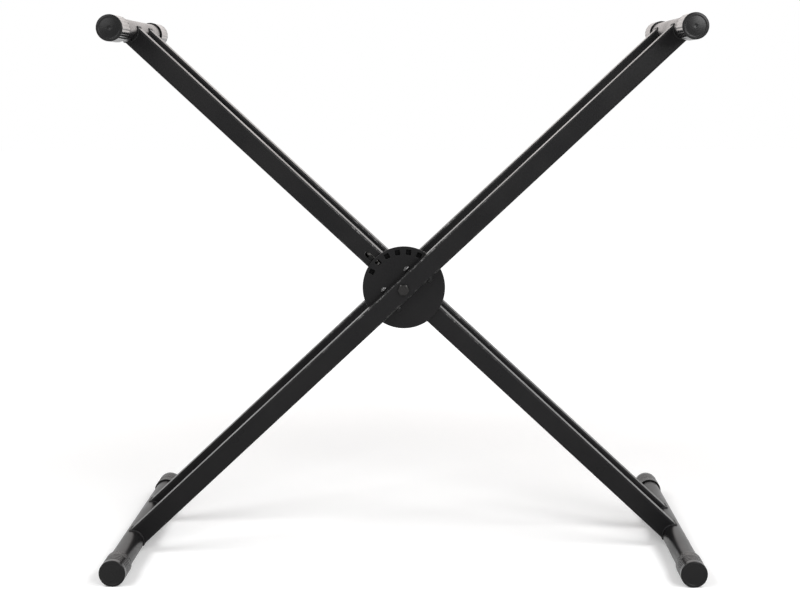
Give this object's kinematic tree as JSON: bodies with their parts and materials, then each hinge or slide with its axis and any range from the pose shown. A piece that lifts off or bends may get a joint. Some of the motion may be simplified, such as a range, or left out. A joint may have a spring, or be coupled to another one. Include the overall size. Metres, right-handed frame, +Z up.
{
  "type": "x-style keyboard stand",
  "caption": "Folding x-style keyboard stand with braced square legs, round cross bars, rubber end caps, a locking disc and a spring latch.",
  "frame": {"origin": "on the floor, midway between the four foot caps, under the pivot of the legs", "axes": "+Z up; +X across the stand, the way its legs spread; +Y from front to rear, along the cross bars, so the locking disc faces -Y"},
  "size_m": [0.7352, 0.507, 0.6875],
  "materials": {
    "frame_paint": "satin black powder coat",
    "cap_rubber": "matt moulded rubber",
    "black_fastener": "blackened steel",
    "bare_steel": "plain steel",
    "dark_nylon": "dark nylon"
  },
  "bodies": {
    "outer_frame": {"outer_front_leg": "frame_paint", "outer_rear_leg": "frame_paint", "right_support_bar": "frame_paint", "left_base_bar": "frame_paint", "right_support_cap_front": "cap_rubber", "right_support_cap_rear": "cap_rubber", "left_foot_cap_front": "cap_rubber", "left_foot_cap_rear": "cap_rubber", "locking_disc": "frame_paint", "front_pivot_bolt": "black_fastener", "front_nut_washer": "black_fastener", "front_lock_nut": "black_fastener", "rear_pivot_bolt": "black_fastener", "rear_nut_washer": "black_fastener", "rear_lock_nut": "black_fastener"},
    "inner_frame": {"inner_front_leg": "frame_paint", "inner_rear_leg": "frame_paint", "left_support_bar": "frame_paint", "right_base_bar": "frame_paint", "left_support_cap_front": "cap_rubber", "left_support_cap_rear": "cap_rubber", "right_foot_cap_front": "cap_rubber", "right_foot_cap_rear": "cap_rubber", "front_spacer_disc": "dark_nylon", "rear_spacer": "dark_nylon", "front_pivot_bushing": "bare_steel", "rear_pivot_bushing": "bare_steel", "latch_pin": "bare_steel"},
    "latch": {"latch_lever": "black_fastener", "latch_grip": "cap_rubber", "latch_spring": "bare_steel"}
  },
  "joints": [
    {"name": "leg_fold", "type": "hinge", "parent": "outer_frame", "child": "inner_frame", "pos_m": [0, 0, 0.34377], "axis": [0, 1, 0], "range_deg": [-17.8, 89]},
    {"name": "latch_lever_turn", "type": "hinge", "parent": "inner_frame", "child": "latch", "pos_m": [-0.06948, -0.0485, 0.40856], "axis": [-0.682, 0, -0.7314], "range_deg": [-2.5, 3.6], "stiffness_Nm_per_rad": 2}
  ]
}
